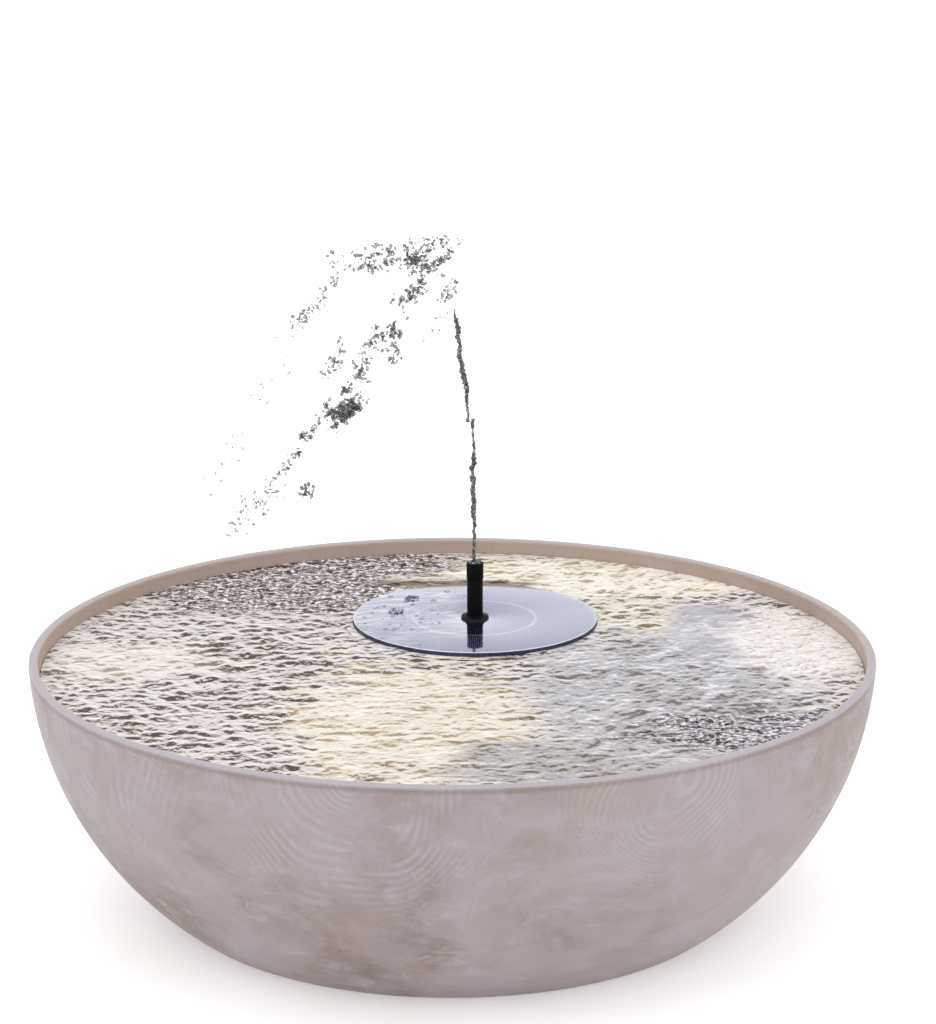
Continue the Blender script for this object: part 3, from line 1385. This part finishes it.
@dataclass
class HiddenWorks:
    """Dresses the CAD's own nodes: the float, the pump, its motor and the strainer."""

    def build(self) -> None:
        """Gives each node that still shows its finish."""
        for nodes, finish in self._finishes():
            material = finish.build()
            for node in nodes:
                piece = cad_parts[node]
                if piece.hide_render:
                    continue
                for place in piece.material_slots:
                    place.material = material
                LOG.info("%s: dressed in %s", node, material.name)

    @staticmethod
    def _finishes() -> list[tuple[tuple[str, ...], Finish]]:
        """Returns each finish with the nodes that wear it."""
        return [
            (("float_shell", "float_base", "pump_housing", "pump_cover", "strainer_cover", "rotor_can"),
             MouldedPlastic("moulded_black_plastic", tint(22, 22, 24))),
            (("collar_washer", "wire_gland", "upper_bush", "lower_bush", "cover_seal"),
             MouldedPlastic("soft_rubber", tint(28, 27, 28), roughness=0.6)),
            (("impeller",), MouldedPlastic("white_impeller_plastic", tint(222, 222, 216), roughness=0.4)),
            (("outer_cells",), SolarCell("fingered_cells", True)),
            (("inner_cells",), SolarCell("plain_cells", False)),
            (("ring_conductor",),
             MouldedPlastic("printed_silver", tint(236, 238, 242), roughness=0.35, wear=0.0)),
            (("panel_board",), PrintedBoard("panel_laminate", tint(24, 30, 56), tint(60, 66, 96))),
            (("drive_board",), PrintedBoard("green_board", tint(24, 84, 52), tint(150, 160, 84))),
            (("drive_chip",), MouldedPlastic("chip_resin", tint(20, 20, 22), roughness=0.5)),
            (("shell_screws", "cover_screws"),
             BareMetal("screw_steel_bright", tint(196, 196, 192), tint(120, 116, 108))),
            (("stator_core",), BareMetal("laminated_steel", tint(128, 130, 134), tint(62, 62, 64), 0.5 * MM)),
            (("stator_coils",),
             BareMetal("enamelled_copper", tint(196, 106, 52), tint(112, 50, 24), 0.35 * MM)),
            (("rotor_magnet",), MouldedPlastic("bonded_magnet", tint(46, 46, 50), roughness=0.5)),
            (("shaft",), MouldedPlastic("white_ceramic", tint(232, 230, 222), roughness=0.2, wear=0.0)),
            (("panel_wires",), MouldedPlastic("wire_sleeve", tint(150, 30, 26), roughness=0.4)),
            (("foam_ring",), CellFoam("closed_foam", tint(226, 226, 220), tint(190, 190, 182), 900.0)),
            (("filter_sponge",), CellFoam("filter_foam", tint(52, 54, 58), tint(14, 14, 16), 520.0)),
        ]


# ---------------------------------------------------------------- the studio


@dataclass(frozen=True)
class SoftLight:
    """A square lamp that aims at the middle of the bowl."""

    name: str
    place: tuple[float, float, float]
    size: float
    power: float
    colour: tuple[float, float, float] = (1.0, 1.0, 1.0)

    def build(self, aim: Vector) -> None:
        """Hangs the lamp."""
        lamp = bpy.data.lights.new(self.name, "AREA")
        lamp.shape = "SQUARE"
        lamp.size, lamp.energy, lamp.color = self.size, self.power, self.colour
        holder = bpy.data.objects.new(self.name, lamp)
        holder.location = self.place
        holder.rotation_euler = (aim - Vector(self.place)).to_track_quat("-Z", "Y").to_euler()
        bpy.context.scene.collection.objects.link(holder)


@dataclass
class Studio:
    """A pale floor, soft light and the camera."""

    floor_size: float = 14.0
    sky_strength: float = 1.07
    camera_place: tuple[float, float, float] = (0.0, -1.9126, 0.747)
    camera_tilt: float = math.radians(75.41)
    camera_turn: float = math.radians(-0.29)
    lens: float = 111.6
    lights: tuple[SoftLight, ...] = (
        SoftLight("key_light", (-1.6, -1.2, 2.4), 1.6, 8.0),
        SoftLight("fill_light", (2.0, -0.6, 1.8), 1.8, 3.0),
    )

    def build(self) -> None:
        """Lays the floor, hangs the lights and sets the camera."""
        bm = bmesh.new()
        bmesh.ops.create_grid(bm, x_segments=2, y_segments=2, size=self.floor_size / 2)
        floor = finish_mesh("studio_floor", bm, StudioFloor().build())
        world = bpy.data.worlds.new("pale_room")
        world.use_nodes = True
        sky = Graph(world.node_tree)
        glow = sky.add("Background", Color=(1.0, 1.0, 1.0, 1.0), Strength=self.sky_strength)
        sky.feed(sky.add("OutputWorld").inputs["Surface"], glow.outputs[0])
        bpy.context.scene.world = world
        for light in self.lights:
            light.build(Vector((0, 0, 0.1)))
        camera = bpy.data.cameras.new("camera")
        camera.lens, camera.sensor_width = self.lens, 36.0
        holder = bpy.data.objects.new("camera", camera)
        holder.location = self.camera_place
        holder.rotation_euler = (self.camera_tilt, 0, self.camera_turn)
        bpy.context.scene.collection.objects.link(holder)
        bpy.context.scene.camera = holder
        bpy.context.scene.view_settings.view_transform = "Standard"


def main() -> None:
    """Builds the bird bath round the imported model, and the studio round the bird bath."""
    logging.basicConfig(level=logging.INFO, format="%(message)s")
    Studio().build()
    bowl = MarbledBowl()
    bowl.build()
    pool = PoolOfWater(bowl)
    surface = pool.build()
    WaterEdge().build(pool, surface.data.materials[0])
    JetAndSpray().build()
    SolarDisc().build()
    NozzleStack().build()
    HiddenWorks().build()


if __name__ == "__main__":
    main()
